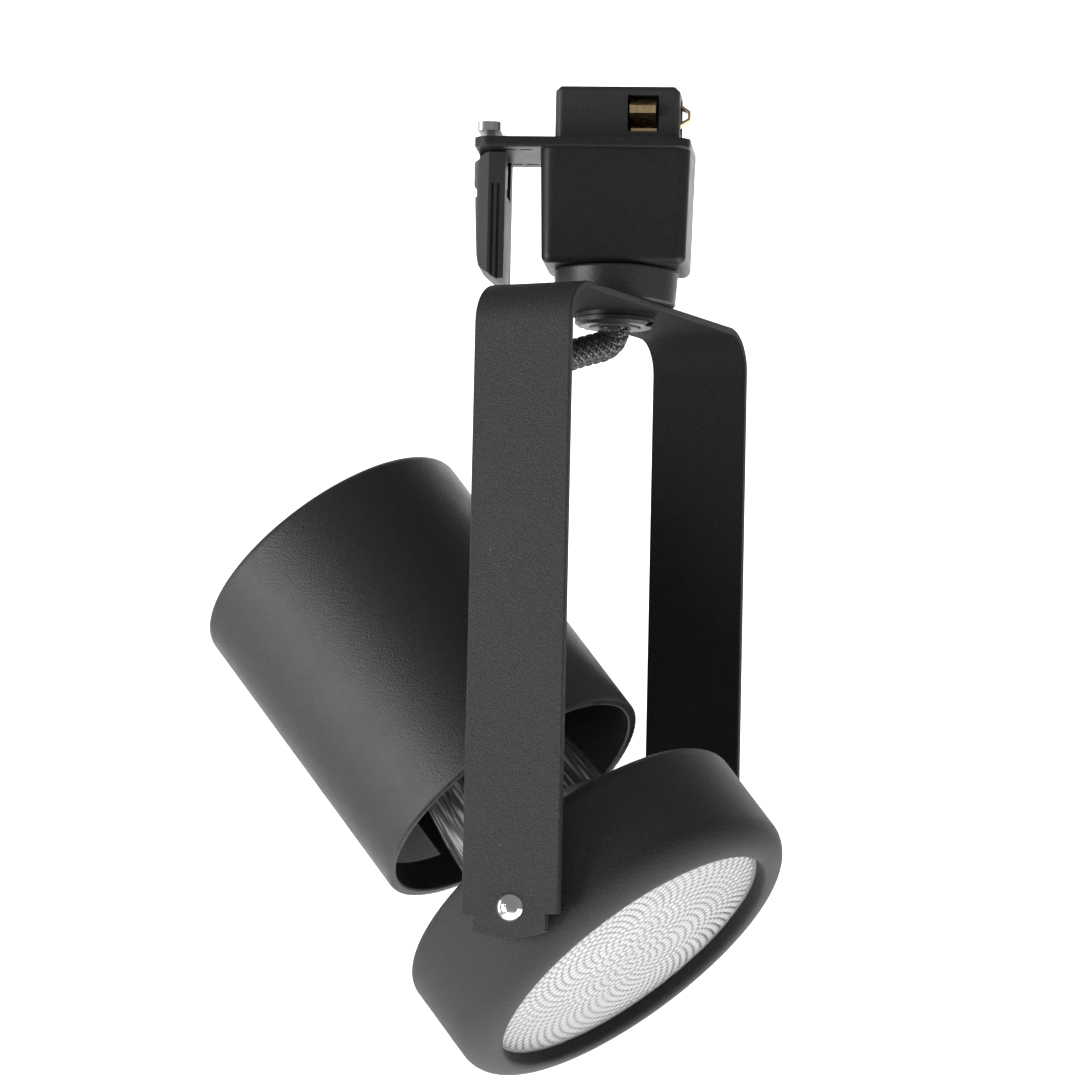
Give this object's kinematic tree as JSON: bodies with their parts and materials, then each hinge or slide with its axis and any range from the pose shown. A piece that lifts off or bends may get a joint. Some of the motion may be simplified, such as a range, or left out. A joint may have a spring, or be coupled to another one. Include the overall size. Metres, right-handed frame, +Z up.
{
  "type": "track spotlight",
  "caption": "Track spotlight: a gimbal ring and cylindrical socket cup tilt in a bent-strap yoke that swivels under a plug-in track adapter with a locking cam lever.",
  "frame": {"origin": "middle of the adapter's seating plane, where the top plate meets the underside of the track, on the swivel axis", "axes": "+X along the track, away from the locking lever; +Z up into the track; the spotlight hangs towards -Z"},
  "size_m": [0.1127, 0.0911, 0.1896],
  "materials": {
    "adapter_plastic": "semi-gloss moulded",
    "insert_plastic": "matt moulded",
    "lever_plastic": "semi-gloss moulded",
    "bushing_nylon": "natural moulded nylon, black",
    "contact_brass": "rolled",
    "wire_insulation": "silicone rubber",
    "zinc_steel": "zinc plated",
    "black_steel": "blackened",
    "textured_black": "fine wrinkle powder coat",
    "collar_black": "satin paint, rubbed",
    "satin_black": "satin paint",
    "rivet_chrome": "polished",
    "spacer_nylon": "moulded",
    "braided_sleeve": "braided glass-fibre sleeve, black, varnished",
    "lens_glass": "clear, moulded facets",
    "capsule_glass": "clear quartz",
    "reflector_glass": "pressed glass, aluminised inside",
    "lamp_base_metal": "drawn",
    "base_insulator": "black glass",
    "porcelain": "glazed",
    "grommet_rubber": "moulded",
    "label_foil": "foil label, blank"
  },
  "bodies": {
    "adapter": {"adapter_housing": "adapter_plastic", "floor_bushing": "bushing_nylon", "top_plate": "adapter_plastic", "track_insert": "insert_plastic", "ground_contact": "contact_brass", "line_contact": "contact_brass", "neutral_contact": "contact_brass", "terminal_block": "adapter_plastic", "adapter_leads": "wire_insulation", "housing_screws": "zinc_steel"},
    "latch": {"latch_lever": "lever_plastic", "cam_shaft": "zinc_steel"},
    "lock": {"lock_bar": "zinc_steel"},
    "yoke": {"swivel_collar": "collar_black", "swivel_stem": "black_steel", "thrust_washer": "zinc_steel", "stop_washer": "zinc_steel", "retainer_nut": "zinc_steel", "lock_washer": "black_steel", "stem_nut": "black_steel", "cable_bushing": "bushing_nylon", "yoke_strap": "textured_black", "supply_lead": "braided_sleeve", "pivot_rivets": "rivet_chrome", "pivot_spacers": "spacer_nylon", "friction_washers": "spacer_nylon"},
    "head": {"gimbal_ring": "textured_black", "lamp_clip": "black_steel", "lamp_lens": "lens_glass", "lamp_reflector": "reflector_glass", "burner_capsule": "capsule_glass", "filament": "zinc_steel", "burner_supports": "zinc_steel", "lamp_base_shell": "lamp_base_metal", "lamp_base_insulator": "base_insulator", "lamp_eyelet": "lamp_base_metal", "lampholder_body": "porcelain", "holder_screw_shell": "contact_brass", "holder_center_contact": "contact_brass", "holder_terminals": "contact_brass", "holder_bracket": "zinc_steel", "holder_screws": "zinc_steel", "cup_screws": "black_steel", "socket_cup": "satin_black", "cup_grommet": "grommet_rubber", "holder_leads": "wire_insulation", "rating_label": "label_foil"}
  },
  "joints": [
    {"name": "latch_hinge", "type": "hinge", "parent": "adapter", "child": "latch", "pos_m": [-0.0242, 0, -0.0058], "axis": [0, 1, 0], "range_deg": [0, 90]},
    {"name": "lock_slide", "type": "slide", "parent": "adapter", "child": "lock", "axis": [0, 0, 1], "range_m": [0, 0.0008]},
    {"name": "yoke_swivel", "type": "hinge", "parent": "adapter", "child": "yoke", "pos_m": [0, 0, -0.031], "axis": [0, 0, 1], "range_deg": [-160, 160]},
    {"name": "head_tilt", "type": "hinge", "parent": "yoke", "child": "head", "pos_m": [0, 0, -0.1486], "axis": [-0.3681, -0.9298, 0], "range_deg": [-40, 35], "deforming": ["supply_lead"]}
  ],
  "couplings": [
    {"joint": "latch_hinge", "follows": "lock_slide", "rad_per_m": 1963.5}
  ]
}
